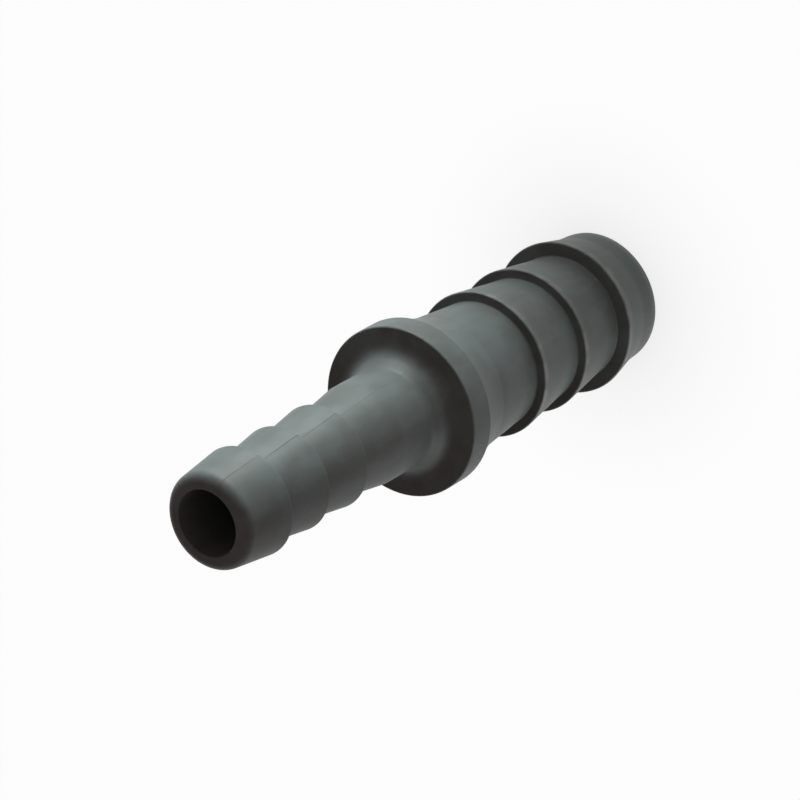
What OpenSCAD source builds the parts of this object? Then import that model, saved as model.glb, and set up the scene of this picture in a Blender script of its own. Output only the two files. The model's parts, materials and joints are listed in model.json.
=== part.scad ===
// Hose reducer: one moulded tube that joins a wide hose to a narrow one.
// It stands on its wide end, with the flow axis on Z and the narrow end at the top.
// The origin is the centre of the wide end's face. All lengths are in millimetres.

/* [Narrow end] */
// Length of the narrow end, from its tip to the collar
narrow_len = 41.5; // [38:0.5:60]
// Diameter of the narrow bore
narrow_bore_d = 9; // [6:0.1:10]
// Outside diameter at the tip
narrow_tip_d = 13; // [12:0.1:14]
// Radius that rounds the tip's outer edge
narrow_tip_round = 1.5; // [0.1:0.05:1.6]
// Distance from the tip to the first barb
narrow_lead = 7.9; // [5:0.1:9]
// Distance from one barb to the next
narrow_pitch = 8.2; // [6:0.1:8.5]
// Number of barbs
narrow_barbs = 3; // [1:1:3]
// Diameter over the first barb
narrow_first_barb_d = 15; // [13.6:0.1:16]
// Diameter over the other barbs
narrow_barb_d = 14.4; // [13.6:0.1:16]
// Diameter at the foot of each barb
narrow_root_d = 12; // [11.4:0.1:13.2]
// Diameter of the plain neck beside the collar
neck_d = 14.4; // [13.6:0.1:17]
// Length over which the neck widens from the last barb's foot
neck_taper_len = 8.2; // [4:0.1:9]
// Length over which the neck flares out in front of the collar
flare_len = 2.7; // [1:0.1:4]
// Diameter that the flare would reach at the collar's face
flare_d = 17.3; // [17.1:0.1:20]

/* [Collar] */
// Diameter of the collar
collar_d = 24; // [22:0.5:30]
// Width of the collar's band
collar_w = 3.8; // [2:0.1:6]
// Radius of the fillet between the flare and the collar
collar_fillet = 2.4; // [0.5:0.1:3]
// Radius that rounds the collar's two edges
collar_round = 0.25; // [0.1:0.05:0.8]
// Length of the shoulder behind the collar
shoulder_len = 6.2; // [2:0.1:8]
// Depth of the hollow along the shoulder
shoulder_hollow = 0.2; // [0.05:0.05:0.4]
// Diameter at the end of the shoulder
shoulder_d = 20; // [19:0.1:21.5]

/* [Wide end] */
// Length of the wide end, from the shoulder to its face
wide_len = 39; // [36:0.1:60]
// Diameter of the wide bore
wide_bore_d = 14.4; // [11:0.1:15.4]
// Outside diameter at the end face
wide_tip_d = 19.6; // [18.6:0.1:20]
// Radius that rounds the end's outer edge
wide_tip_round = 0.35; // [0.1:0.05:1]
// Length of the slim nose ahead of the first barb
nose_len = 3.6; // [1:0.1:6]
// Diameter where the nose meets the first barb's cone
nose_d = 20.1; // [19.8:0.1:21]
// Radius that blends the nose into the first barb's cone
nose_blend = 8; // [0.5:0.5:12]
// Distance from the end face to the first barb
wide_lead = 9.3; // [8:0.1:11]
// Distance from one barb to the next
wide_pitch = 10.2; // [8:0.1:12]
// Number of barbs
wide_barbs = 3; // [1:1:3]
// Diameter over the first barb
wide_first_barb_d = 22.5; // [21.2:0.1:24]
// Diameter over the other barbs
wide_barb_d = 21.1; // [20:0.1:24]
// Diameter at the foot of each barb
wide_root_d = 18.3; // [17.6:0.1:19.4]

/* [Details] */
// Radius in the corner at the foot of each barb
root_fillet = 0.15; // [0.05:0.05:1]
// Radius that blends the neck's taper into its plain stretch
neck_blend = 6; // [0.5:0.5:20]
// Radius that blends the plain stretch into the flare
flare_blend = 2.3; // [0.5:0.1:4]
// Radius on the crest of each narrow barb
narrow_crest_round = 0.1; // [0.05:0.05:0.5]
// Radius on the crest of each wide barb
wide_crest_round = 0.2; // [0.05:0.05:0.5]
// Length over which the bore changes from wide to narrow
bore_taper_len = 10; // [4:0.5:20]
// Radius that breaks the edge of each bore's mouth
mouth_round = 0.2; // [0.05:0.05:0.5]

/* [Hidden] */

// Faces round the axis
$fn = 128;
// Fewest steps along a rounded corner, longest step along one, and steps along the shoulder
CORNER_STEPS = 6;
CORNER_STEP_LEN = 0.35;
SHOULDER_STEPS = 10;
// Most of an edge that the round at one of its ends may take up
EDGE_SHARE = 0.48;
// Sharp corner, and how far the bore's outline runs past each face
SHARP = 0;
OVERRUN = 1;

shoulder_z = wide_len;
collar_low_z = shoulder_z + shoulder_len;
collar_top_z = collar_low_z + collar_w;
total_len = collar_top_z + narrow_len;
taper_top_z = shoulder_z + bore_taper_len;
neck_taper_z = total_len - narrow_lead - (narrow_barbs - 1) * narrow_pitch - neck_taper_len;

// Each outline point is [radius, height, corner radius]
function xy(p) = [p[0], p[1]];
function unit(v) = v / norm(v);
function cross_z(u, v) = u[0] * v[1] - u[1] * v[0];

// Points of the arc that rounds the corner at b, tangent to the edges to a and to c
function corner(a, b, c) =
    let (
        u = unit(xy(a) - xy(b)),
        v = unit(xy(c) - xy(b)),
        half = acos(max(-1, min(1, u * v))) / 2,
        room = EDGE_SHARE * min(norm(xy(a) - xy(b)), norm(xy(c) - xy(b))),
        tangent = min(b[2] / tan(half), room),
        radius = tangent * tan(half),
        centre = xy(b) + unit(u + v) * radius / sin(half),
        start = xy(b) + u * tangent - centre,
        turn = (cross_z(u, v) > 0 ? -1 : 1) * (180 - 2 * half),
        steps = max(CORNER_STEPS, ceil(radius * abs(turn) * PI / 180 / CORNER_STEP_LEN))
    )
    [for (i = [0:steps])
        let (t = turn * i / steps)
        centre + [start[0] * cos(t) - start[1] * sin(t), start[0] * sin(t) + start[1] * cos(t)]];

// Outline with every corner rounded by its own radius
function rounded(pts) =
    let (n = len(pts))
    [for (i = [0:n - 1])
        each pts[i][2] > SHARP
            ? corner(pts[(i + n - 1) % n], pts[i], pts[(i + 1) % n])
            : [xy(pts[i])]];

// Wide end, from its face to the foot of the last barb
function wide_crest_d(i) = i == 0 ? wide_first_barb_d : wide_barb_d;
function wide_outline() = concat(
    [[wide_tip_d / 2, 0, wide_tip_round], [nose_d / 2, nose_len, nose_blend]],
    [for (i = [0:wide_barbs - 1])
        let (z = wide_lead + i * wide_pitch)
        each [[wide_crest_d(i) / 2, z, wide_crest_round], [wide_root_d / 2, z, root_fillet]]]);

// Points of a shallow arc from a to b, hollow towards the axis by the given depth
function hollow_arc(a, b, depth) =
    let (
        chord = norm(b - a),
        radius = (chord * chord / 4 + depth * depth) / (2 * depth),
        half = asin(chord / 2 / radius),
        along = (b - a) / chord,
        outward = [along[1], -along[0]],
        centre = (a + b) / 2 + outward * (radius - depth)
    )
    [for (i = [1:SHOULDER_STEPS - 1])
        let (t = half * (2 * i / SHOULDER_STEPS - 1))
        centre + radius * (along * sin(t) - outward * cos(t))];

// Shoulder, collar band, the collar's upper face and the flare and plain stretch of the neck
function collar_outline() = concat(
    [[shoulder_d / 2, shoulder_z, SHARP]],
    [for (p = hollow_arc([shoulder_d / 2, shoulder_z], [collar_d / 2, collar_low_z], shoulder_hollow))
        [p[0], p[1], SHARP]],
    [[collar_d / 2, collar_low_z, collar_round],
     [collar_d / 2, collar_top_z, collar_round],
     [flare_d / 2, collar_top_z, collar_fillet],
     [neck_d / 2, collar_top_z + flare_len, flare_blend],
     [neck_d / 2, neck_taper_z, neck_blend]]);

// Narrow end, from the barb nearest the collar up to the tip
function narrow_crest_d(i) = i == 0 ? narrow_first_barb_d : narrow_barb_d;
function narrow_outline() = concat(
    [for (i = [narrow_barbs - 1:-1:0])
        let (z = total_len - narrow_lead - i * narrow_pitch)
        each [[narrow_root_d / 2, z, root_fillet], [narrow_crest_d(i) / 2, z, narrow_crest_round]]],
    [[narrow_tip_d / 2, total_len, narrow_tip_round]]);

// Solid outer form, closed along the axis
module outer_form() {
    rotate_extrude()
        polygon(rounded(concat(
            [[0, 0, SHARP]],
            wide_outline(),
            collar_outline(),
            narrow_outline(),
            [[0, total_len, SHARP]])));
}

// Waterway: the wide bore, a taper inside the collar and the narrow bore
module waterway() {
    wide_r = wide_bore_d / 2;
    narrow_r = narrow_bore_d / 2;
    rotate_extrude()
        polygon(rounded([
            [0, -OVERRUN, SHARP],
            [wide_r + OVERRUN, -OVERRUN, SHARP],
            [wide_r + OVERRUN, 0, SHARP],
            [wide_r, 0, mouth_round],
            [wide_r, shoulder_z, SHARP],
            [narrow_r, taper_top_z, SHARP],
            [narrow_r, total_len, mouth_round],
            [narrow_r + OVERRUN, total_len, SHARP],
            [narrow_r + OVERRUN, total_len + OVERRUN, SHARP],
            [0, total_len + OVERRUN, SHARP]]));
}

// The whole moulding
module reducer_body() {
    color([0.27, 0.28, 0.28])
        difference() {
            outer_form();
            waterway();
        }
}

reducer_body();
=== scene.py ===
"""Looks of the hose reducer.

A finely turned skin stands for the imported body. It gets its plastic, a pale floor and soft light.
Lengths are in metres unless a comment says otherwise.
"""

import json
import math

import bpy
import numpy as np
from mathutils import Matrix, Vector


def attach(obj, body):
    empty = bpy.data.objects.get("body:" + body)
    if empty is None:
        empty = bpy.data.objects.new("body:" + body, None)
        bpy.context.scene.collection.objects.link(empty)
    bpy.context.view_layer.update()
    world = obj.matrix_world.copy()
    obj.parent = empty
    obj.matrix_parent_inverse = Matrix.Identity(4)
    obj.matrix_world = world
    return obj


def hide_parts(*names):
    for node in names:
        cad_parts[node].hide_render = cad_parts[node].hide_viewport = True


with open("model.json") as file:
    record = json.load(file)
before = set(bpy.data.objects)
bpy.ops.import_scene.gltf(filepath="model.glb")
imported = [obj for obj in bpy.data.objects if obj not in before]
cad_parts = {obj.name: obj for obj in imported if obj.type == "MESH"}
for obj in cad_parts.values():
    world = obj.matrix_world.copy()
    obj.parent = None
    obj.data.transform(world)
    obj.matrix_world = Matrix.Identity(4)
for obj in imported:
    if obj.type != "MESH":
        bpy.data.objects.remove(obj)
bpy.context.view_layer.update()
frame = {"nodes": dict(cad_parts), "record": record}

NODE = "reducer_body"
BODY = "root"
MM = 0.001

# Camera: it looks down on the narrow end, rolled so that the part lies across the picture.
# The lens and the sensor's width are in millimetres
CAMERA_TARGET = Vector((0.777, 1.140, 47.737)) * MM
CAMERA_DISTANCE = 475.79 * MM
CAMERA_AZIMUTH = math.radians(-34.3)
CAMERA_ELEVATION = math.radians(48.283)
CAMERA_ROLL = math.radians(-119.835)
CAMERA_LENS = 161.105
SENSOR_WIDTH = 36.0

# Outline: a vertex this near the plane of X and Z is on it, and its place is rounded to these digits
IN_PLANE = 1e-7
PLACE_DIGITS = 6

# Steps round the axis, in degrees: the usual one, the finer one beside a parting line and its reach
TURN_STEP = 2.5
LINE_STEP = 0.25
LINE_REACH = 2.0

# Steps along the outline. A corner turns by more than the first angle, a span that bends by less
# than the second is straight, and one is long beside a neighbour that it outruns by the ratio
CORNER_TURN = math.radians(32)
STRAIGHT = math.radians(0.2)
LONG_RATIO = 2.5
CURVE_STEP = 0.17 * MM
SUPPORT = 0.06 * MM
SHORTEST_SPLIT = 4 * SUPPORT
LONGEST_SPAN = 1.1 * MM

# Parting line: a fine ridge that the two mould halves leave along +X and -X, with sides that rise by
# a power. Its height has a steady share and a wavering one, the product of a long and a short wave.
# Waves are in radians per millimetre up the part, and the short one differs from side to side
LINE_HEIGHT = 0.048 * MM
LINE_HALF_WIDTH = 0.10 * MM
LINE_SLOPE = 1.5
LINE_STEADY = 0.7
LINE_WAVER = 0.3
LONG_WAVE, LONG_START = 0.17, 0.6
SHORT_WAVE, SIDE_SHIFT = 0.41, 1.3

# Nick in the crest of the wide end's first barb, where the parting line crosses it
NICK_DEPTH = 0.13 * MM
NICK_HALF_WIDTH = 0.13 * MM
NICK_RANGE = (8.0 * MM, 11.0 * MM)

# Unevenness of the moulded wall: each wave's share of the depth, its count round the axis, its
# radians per millimetre of height and its start
SINK_DEPTH = 0.022 * MM
SINK_WAVES = (
    (0.55, 2, 0.11, math.pi / 2),
    (0.30, 3, -0.23, 1.1),
    (0.25, 5, 0.57, 0.4),
)

# How fast the relief fades in as the wall turns to face outwards
FACING_GAIN = 3

# Sharpest and softest corner radius that count as a crest, how far its lighter colour fades out beside
# it, how strongly it colours the edge, and how far up the part crests are lighter. The lighter colour is
# a painted highlight, partly wear
EDGE_SHARP = 0.15 * MM
EDGE_SOFT = 0.9 * MM
CREST_REACH = 1.1 * MM
CREST_GAIN = 2.0
CREST_TOP = 35.0 * MM

# Least turn, in radians, from which a corner's radius is worked out
LEAST_TURN = 1e-4

# Plastic: dark grey and satin, in a darker and a lighter tone, with lighter crests: a painted highlight,
# partly wear
PLASTIC_DARK = (0.099, 0.113, 0.107, 1)
PLASTIC_LIGHT = (0.122, 0.148, 0.145, 1)
PLASTIC_HIGHLIGHT_AND_WEAR = (0.250, 0.278, 0.265, 1)
SPECULAR = 0.19

# Noises: wavelength, detail and roughness of the clouding, the streaks and the mould's grain
CLOUD = (6.5 * MM, 3.0, 0.55)
STREAK = (1.6 * MM, 2.0, 0.5)
GRAIN = (0.22 * MM, 2.0, 0.6)
STREAK_SQUASH = (1.0, 1.0, 0.12)
GRAIN_DEPTH = 0.010 * MM

# Shares of clouding and streaks in the tone, and the stretch of it that goes from dark to light
TONE_CLOUD = 0.8
TONE_STREAK = 0.2
TONE_RANGE = (0.41, 0.59)

# Stretch of the clouding over which the crests' painted highlight and wear go from faint to full
CREST_CLOUD_RANGE = (0.42, 0.58)
CREST_CLOUD_LEVELS = (0.25, 1.0)

# Share of the grain in the roughness, the stretch of the sum, and the roughness at its ends
ROUGH_GRAIN = 0.4
ROUGH_RANGE = (0.5, 0.95)
ROUGH_LEVELS = (0.46, 0.56)

# Floor: a pale sheet that curves up far behind the part
FLOOR_REACH = 1.6
FLOOR_RISE = 0.7
FLOOR_SECTORS = 96
FLOOR_STEPS = 16
FLOOR_SHADE = (0.9, 0.9, 0.9, 1)
FLOOR_GLOW = 0.97

# Where the part stands: the glow stops inside the bore's mouth, a painted shade, and dims near the foot,
# a painted contact shadow
wide_bore = next(m for m in frame["record"]["mounts"] if m["name"] == "wide_bore")
FOOT_RADIUS = wide_bore["dims"]["r_mm"] * MM
CONTACT_REACH = 0.02
CONTACT_SAMPLES = 4
CONTACT_RANGE = (0.4, 1.0)
CONTACT_LEVELS = (0.84, 1.0)

# Light: the world's level and tint, and the tint of the key lamps
WORLD_LEVEL = 0.225
WORLD_TINT = (1.0, 0.76, 0.75)
KEY_TINT = (0.95, 1.0, 1.0)
WHITE = (1.0, 1.0, 1.0)


def direction(azimuth, elevation):
    """Unit vector at an azimuth from +X and an elevation above the floor, in radians."""
    level = math.cos(elevation)
    return Vector((level * math.cos(azimuth), level * math.sin(azimuth), math.sin(elevation)))


def aim(obj, place, target, roll=0.0):
    """Puts a camera or lamp at a place, looking at a target, turned about its line of sight."""
    look = (target - place).to_track_quat("-Z", "Y").to_matrix().to_4x4()
    obj.matrix_world = Matrix.Translation(place) @ look @ Matrix.Rotation(roll, 4, "Z")


def placed(name, data):
    """A new object in the scene."""
    obj = bpy.data.objects.new(name, data)
    bpy.context.scene.collection.objects.link(obj)
    return obj


def smooth_mesh(name, points, faces):
    """A smoothly shaded mesh."""
    mesh = bpy.data.meshes.new(name)
    mesh.from_pydata(points, [], faces)
    mesh.shade_smooth()
    return mesh


def make_camera():
    """The camera, at the photograph's viewing angle."""
    data = bpy.data.cameras.new("camera")
    data.lens = CAMERA_LENS
    data.sensor_width = SENSOR_WIDTH
    camera = placed("camera", data)
    back = direction(CAMERA_AZIMUTH, CAMERA_ELEVATION)
    aim(camera, CAMERA_TARGET + back * CAMERA_DISTANCE, CAMERA_TARGET, CAMERA_ROLL)
    bpy.context.scene.camera = camera


def half_section(node):
    """The body's half section, where its mesh meets the plane of X and Z.

    It is an ordered loop of (radius, height).
    """
    mesh = node.data
    points = {}
    for v in mesh.vertices:
        if v.co.x > 0 and abs(v.co.y) < IN_PLANE:
            points[v.index] = (round(v.co.x, PLACE_DIGITS), round(v.co.z, PLACE_DIGITS))
    links = {}
    for e in mesh.edges:
        a, b = (points.get(i) for i in e.vertices)
        if a and b and a != b:
            links.setdefault(a, set()).add(b)
            links.setdefault(b, set()).add(a)
    start = min(links, key=lambda p: (p[1], p[0]))
    loop = [start]
    step = max(links[start])
    while step != start:
        loop.append(step)
        step = next(p for p in links[step] if p != loop[-2])
    return np.array(loop)


def turn_at(before, after):
    """Angle by which a line turns from one direction to the next, positive to the left."""
    return np.arctan2(before[0] * after[1] - before[1] * after[0], before @ after)


def tangents(before, after, before_length, after_length):
    """Directions in which the outline reaches a point and leaves it: apart at a corner, else the same."""
    if abs(turn_at(before, after)) > CORNER_TURN:
        return before, after
    if after_length > LONG_RATIO * before_length:
        return after, after
    if before_length > LONG_RATIO * after_length:
        return before, before
    middle = before * after_length + after * before_length
    middle /= np.linalg.norm(middle)
    return middle, middle


def curve_point(start, span, leave, reach, size, t):
    """Point at share t of a smooth curve over a span, with its directions where it leaves and arrives."""
    return (start + span * t * t * (3 - 2 * t)
            + size * t * (1 - t) * (leave * (1 - t) - reach * t))


def refined(loop):
    """The loop with more points: on smooth curves where it is round, else beside the spans' ends."""
    span = np.roll(loop, -1, axis=0) - loop
    length = np.linalg.norm(span, axis=1)
    along = span / length[:, None]
    count = len(loop)
    ways = [tangents(along[i - 1], along[i], length[i - 1], length[i]) for i in range(count)]
    out = []
    for i in range(count):
        start, way, size = loop[i], along[i], length[i]
        leave, reach = ways[i][1], ways[(i + 1) % count][0]
        bend = max(abs(turn_at(leave, way)), abs(turn_at(way, reach)))
        out.append(start)
        if bend > STRAIGHT:
            steps = math.ceil(size / CURVE_STEP)
            out.extend(curve_point(start, span[i], leave, reach, size, k / steps)
                       for k in range(1, steps))
        elif size > SHORTEST_SPLIT:
            steps = max(2, math.ceil(size / LONGEST_SPAN) + 1)
            out.extend(start + way * t for t in np.linspace(SUPPORT, size - SUPPORT, steps))
    return np.array(out)


def outward(loop):
    """Unit normals of a loop that runs anticlockwise in (radius, height), out of the plastic."""
    along = np.roll(loop, -1, axis=0) - np.roll(loop, 1, axis=0)
    normal = np.stack([along[:, 1], -along[:, 0]], 1)
    return normal / np.linalg.norm(normal, axis=1)[:, None]


def edge_highlight_and_wear(loop):
    """Share of the painted crest highlight and wear at each point of the loop: 1 on the sharpest crests,
    fading out along the loop from them.
    """
    before = loop - np.roll(loop, 1, axis=0)
    after = np.roll(loop, -1, axis=0) - loop
    length = np.linalg.norm(after, axis=1)
    span = (np.linalg.norm(before, axis=1) + length) / 2
    rise = before[:, 0] * after[:, 1] - before[:, 1] * after[:, 0]
    turn = np.arctan2(rise, (before * after).sum(1))
    radius = span / np.maximum(turn, LEAST_TURN)
    sharpness = np.clip((EDGE_SOFT - radius) / (EDGE_SOFT - EDGE_SHARP), 0, 1)
    sharpness *= (turn > 0) & (loop[:, 1] < CREST_TOP)
    place = np.cumsum(length) - length
    gap = np.abs(place[:, None] - place[None, :])
    return (sharpness[None, :] * np.clip(1 - gap / CREST_REACH, 0, 1)).max(axis=1)


def turn_angles():
    """Azimuths of the skin's columns, in radians, closer together beside the parting lines."""
    coarse = np.arange(0, 180, TURN_STEP)
    coarse = coarse[(coarse >= LINE_REACH) & (coarse <= 180 - LINE_REACH)]
    fine = np.arange(-LINE_REACH + LINE_STEP, LINE_REACH, LINE_STEP)
    half = np.sort(np.concatenate([coarse, fine]))
    return np.radians(np.concatenate([half, half + 180]))


def relief(angle, radius, height, facing_out, crest_nearness):
    """How far the skin stands proud of the true outline: parting lines, a nick and slight sinks."""
    across = radius * np.abs(np.sin(angle))
    along = height / MM
    waver = (np.sin(along * SHORT_WAVE + SIDE_SHIFT * np.cos(angle))
             * np.sin(along * LONG_WAVE + LONG_START))
    strength = LINE_STEADY + LINE_WAVER * waver
    ridge = LINE_HEIGHT * strength * np.clip(1 - across / LINE_HALF_WIDTH, 0, 1) ** LINE_SLOPE
    waves = sum(share * np.sin(count * angle + rate * along + start)
                for share, count, rate, start in SINK_WAVES)
    sink = SINK_DEPTH * (waves - 1)
    nicked = (height > NICK_RANGE[0]) & (height < NICK_RANGE[1])
    nick = NICK_DEPTH * crest_nearness ** 2 * nicked * np.clip(1 - (across / NICK_HALF_WIDTH) ** 2, 0, 1)
    return (ridge + sink) * facing_out - nick


def make_skin():
    """The body's outline turned into a finely stepped skin, with relief and a value for its painted crest
    highlight and wear.
    """
    loop = refined(half_section(frame["nodes"][NODE]))
    crest_nearness = edge_highlight_and_wear(loop)
    facing_out = np.clip(outward(loop)[:, 0] * FACING_GAIN, 0, 1)
    angles = turn_angles()
    rows, columns = len(loop), len(angles)
    radius, height = loop[:, 0][:, None], loop[:, 1][:, None]
    r = radius + relief(angles[None, :], radius, height, facing_out[:, None], crest_nearness[:, None])
    z = np.broadcast_to(height, r.shape)
    points = np.stack([r * np.cos(angles), r * np.sin(angles), z], -1).reshape(-1, 3)
    row, column = np.meshgrid(np.arange(rows), np.arange(columns), indexing="ij")
    next_row, next_column = (row + 1) % rows, (column + 1) % columns
    corners = [row * columns + column, row * columns + next_column,
               next_row * columns + next_column, next_row * columns + column]
    faces = np.stack(corners, -1).reshape(-1, 4)
    mesh = smooth_mesh("reducer_skin", points.tolist(), faces.tolist())
    highlight_and_wear = mesh.attributes.new("highlight_and_wear", "FLOAT", "POINT")
    # Crest colour: a painted highlight along the barbs' crests, partly wear, on outward faces only
    crest_highlight_and_wear = np.minimum(CREST_GAIN * crest_nearness, 1) * facing_out
    highlight_and_wear.data.foreach_set("value", np.repeat(crest_highlight_and_wear, columns).astype(np.float32))
    mesh.materials.append(plastic())
    skin = placed("reducer_skin", mesh)
    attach(skin, BODY)
    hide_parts(NODE)


class Graph:
    """A material's node tree, with short calls to add nodes and join them."""

    def __init__(self, name):
        self.material = bpy.data.materials.new(name)
        self.material.use_nodes = True
        self.tree = self.material.node_tree
        self.tree.nodes.clear()

    def feed(self, socket, value):
        """Gives a socket a number or a colour, or joins another node's output to it."""
        if isinstance(value, bpy.types.NodeSocket):
            self.tree.links.new(value, socket)
        else:
            socket.default_value = value

    def add(self, kind, **inputs):
        """A node of the given kind, with its inputs fed by name."""
        node = self.tree.nodes.new("ShaderNode" + kind)
        for name, value in inputs.items():
            self.feed(node.inputs[name.replace("_", " ")], value)
        return node

    def math(self, operation, a, b):
        """The result of one operation on two values."""
        node = self.add("Math")
        node.operation = operation
        self.feed(node.inputs[0], a)
        self.feed(node.inputs[1], b)
        return node.outputs[0]

    def ramp(self, value, span, levels):
        """A value stretched from one range onto another, clamped at both ends."""
        node = self.add("MapRange", Value=value, From_Min=span[0], From_Max=span[1],
                        To_Min=levels[0], To_Max=levels[1])
        return node.outputs["Result"]

    def noise(self, place, wave, detail, roughness):
        """A noise of the given wavelength."""
        node = self.add("TexNoise", Vector=place, Scale=1 / wave, Detail=detail, Roughness=roughness)
        return node.outputs["Fac"]

    def mixed(self, factor, first, second):
        """A colour between two others."""
        node = self.add("Mix")
        node.data_type = "RGBA"
        for index, value in ((0, factor), (6, first), (7, second)):
            self.feed(node.inputs[index], value)
        return node.outputs[2]

    def finish(self, shader):
        """The material, with its surface made by the shader."""
        self.add("OutputMaterial", Surface=shader)
        return self.material


def plastic():
    """Dark grey satin plastic: soft clouding, faint streaks, lighter crests (a painted highlight, partly
    wear) and the mould's fine grain.
    """
    g = Graph("moulded_plastic")
    place = g.add("TexCoord").outputs["Object"]
    cloud = g.noise(place, *CLOUD)
    streak = g.noise(g.add("Mapping", Vector=place, Scale=STREAK_SQUASH).outputs["Vector"], *STREAK)
    grain = g.noise(place, *GRAIN)
    highlight_and_wear = g.add("Attribute")
    highlight_and_wear.attribute_name = "highlight_and_wear"
    tone = g.math("ADD", g.math("MULTIPLY", cloud, TONE_CLOUD), g.math("MULTIPLY", streak, TONE_STREAK))
    colour = g.mixed(g.ramp(tone, TONE_RANGE, (0, 1)), PLASTIC_DARK, PLASTIC_LIGHT)
    # Lighter crests: a painted highlight, partly wear, patchy with the clouding
    crest_highlight_and_wear = g.math("MULTIPLY", highlight_and_wear.outputs["Fac"], g.ramp(cloud, CREST_CLOUD_RANGE, CREST_CLOUD_LEVELS))
    colour = g.mixed(crest_highlight_and_wear, colour, PLASTIC_HIGHLIGHT_AND_WEAR)
    uneven = g.math("ADD", cloud, g.math("MULTIPLY", grain, ROUGH_GRAIN))
    roughness = g.ramp(uneven, ROUGH_RANGE, ROUGH_LEVELS)
    bump = g.add("Bump", Height=grain, Strength=1.0, Distance=GRAIN_DEPTH).outputs["Normal"]
    shader = g.add("BsdfPrincipled", Base_Color=colour, Roughness=roughness, Normal=bump)
    shader.inputs["Specular IOR Level"].default_value = SPECULAR
    return g.finish(shader.outputs["BSDF"])


def pale_floor():
    """White to the camera and in reflections, with a little of the plain shade that takes shadows. The
    glow is off inside the bore's mouth and dimmed near the foot: painted shade.
    """
    g = Graph("floor")
    path = g.add("LightPath").outputs
    camera_ray = path["Is Camera Ray"]
    seen = g.math("MAXIMUM", camera_ray, path["Is Glossy Ray"])
    seen = g.math("MAXIMUM", seen, path["Is Transmission Ray"])
    # Painted contact shadow: the glow dims where the part's foot shades the floor
    painted_contact_shadow = g.add("AmbientOcclusion", Distance=CONTACT_REACH)
    painted_contact_shadow.samples = CONTACT_SAMPLES
    clear = g.math("MAXIMUM", painted_contact_shadow.outputs["AO"], g.math("SUBTRACT", 1.0, camera_ray))
    away = g.add("VectorMath", Vector=g.add("TexCoord").outputs["Object"])
    away.operation = "LENGTH"
    # Painted shade: no glow on the floor inside the bore's mouth
    outside = g.math("GREATER_THAN", away.outputs["Value"], FOOT_RADIUS)
    strength = g.math("MULTIPLY", outside, g.ramp(clear, CONTACT_RANGE, CONTACT_LEVELS))
    plain = g.add("BsdfDiffuse", Color=FLOOR_SHADE).outputs[0]
    glow = g.add("Emission", Strength=strength).outputs[0]
    mix = g.add("MixShader", Fac=g.math("MULTIPLY", seen, FLOOR_GLOW))
    g.feed(mix.inputs[1], plain)
    g.feed(mix.inputs[2], glow)
    return g.finish(mix.outputs[0])


def make_floor():
    """A pale sheet, flat under the part and turned up all round at its rim."""
    profile = [(FLOOR_REACH, 0.0)]
    for i in range(1, FLOOR_STEPS + 1):
        t = math.pi / 2 * i / FLOOR_STEPS
        profile.append((FLOOR_REACH + FLOOR_RISE * math.sin(t), FLOOR_RISE * (1 - math.cos(t))))
    points, faces = [(0.0, 0.0, 0.0)], []
    for radius, height in profile:
        for k in range(FLOOR_SECTORS):
            turn = 2 * math.pi * k / FLOOR_SECTORS
            points.append((radius * math.cos(turn), radius * math.sin(turn), height))
    for k in range(FLOOR_SECTORS):
        faces.append((0, 1 + k, 1 + (k + 1) % FLOOR_SECTORS))
    for i in range(FLOOR_STEPS):
        for k in range(FLOOR_SECTORS):
            a = 1 + i * FLOOR_SECTORS + k
            b = 1 + i * FLOOR_SECTORS + (k + 1) % FLOOR_SECTORS
            faces.append((a, a + FLOOR_SECTORS, b + FLOOR_SECTORS, b))
    mesh = smooth_mesh("floor", points, faces)
    mesh.materials.append(pale_floor())
    placed("floor", mesh)


def softbox(name, azimuth, distance, height, aim_height, size, energy, colour=WHITE, spread=180):
    """A rectangular soft lamp beside the part, aimed at its axis. Angles are in degrees."""
    data = bpy.data.lights.new(name, "AREA")
    data.shape = "RECTANGLE"
    data.size, data.size_y = size
    data.spread = math.radians(spread)
    data.energy = energy
    data.color = colour
    lamp = placed(name, data)
    lamp.visible_camera = False
    place = direction(math.radians(azimuth), 0) * distance + Vector((0, 0, height))
    aim(lamp, place, Vector((0, 0, aim_height)))


def make_world():
    """Even light from all round."""
    world = bpy.data.worlds.new("studio")
    world.use_nodes = True
    background = world.node_tree.nodes["Background"]
    background.inputs["Color"].default_value = (*WORLD_TINT, 1)
    background.inputs["Strength"].default_value = WORLD_LEVEL
    bpy.context.scene.world = world


def make_lamps():
    """A large key, two low ones that reach up to the narrow end, and one behind near the floor."""
    softbox("key", azimuth=30, distance=0.25, height=0.060, aim_height=0.050,
            size=(0.14, 0.06), energy=0.133, colour=KEY_TINT)
    softbox("low_key", azimuth=30, distance=0.25, height=0.022, aim_height=0.085,
            size=(0.12, 0.04), energy=0.031, colour=KEY_TINT, spread=40)
    softbox("near_key", azimuth=30, distance=0.12, height=0.012, aim_height=0.080,
            size=(0.08, 0.02), energy=0.0145, colour=KEY_TINT, spread=60)
    softbox("back", azimuth=240, distance=0.20, height=0.016, aim_height=0.018,
            size=(0.12, 0.03), energy=0.0128, spread=45)


make_camera()
make_skin()
make_floor()
make_world()
make_lamps()
bpy.context.scene.view_settings.view_transform = "Standard"
